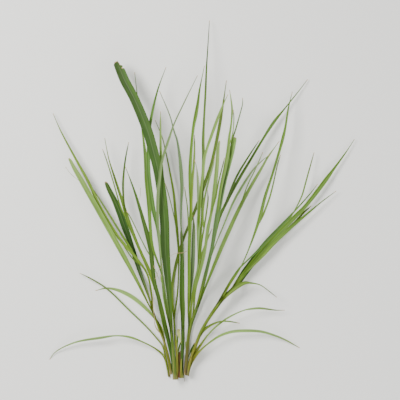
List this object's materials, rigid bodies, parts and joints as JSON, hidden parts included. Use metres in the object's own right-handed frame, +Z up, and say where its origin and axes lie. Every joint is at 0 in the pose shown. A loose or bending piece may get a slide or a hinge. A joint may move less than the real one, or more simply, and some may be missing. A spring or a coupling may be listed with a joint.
{
  "type": "lemongrass clump",
  "caption": "Clump of lemongrass lying on a surface: thin stalks from one short woody crown fan out into long narrow strap leaves, some of them cut blunt.",
  "frame": {"origin": "on the surface that the clump lies on, under the centre of its box", "axes": "+Y from the stalk ends towards the leaf tips, +Z up, +X to the right as the camera looks down"},
  "size_m": [0.6134, 0.7206, 0.0971],
  "materials": {
    "yellow_green_leaf": "fresh grass blade, yellow-green, fine parallel veins, waxy sheen",
    "blue_green_leaf": "fresh grass blade, blue-green, fine parallel veins, waxy sheen",
    "olive_leaf": "fresh grass blade, olive green, fine parallel veins, waxy sheen",
    "dry_fibre": "dry brown sheath fibre, matte"
  },
  "bodies": {
    "root": {"crown": "dry_fibre", "tiller_far_left": "yellow_green_leaf", "tiller_left": "yellow_green_leaf", "tiller_mid_left": "olive_leaf", "tiller_broad_leaf": "blue_green_leaf", "tiller_thin": "yellow_green_leaf", "tiller_centre": "olive_leaf", "tiller_right_centre": "yellow_green_leaf", "tiller_right_fan": "blue_green_leaf", "tiller_right_mid": "olive_leaf", "tiller_right": "yellow_green_leaf"}
  },
  "joints": []
}
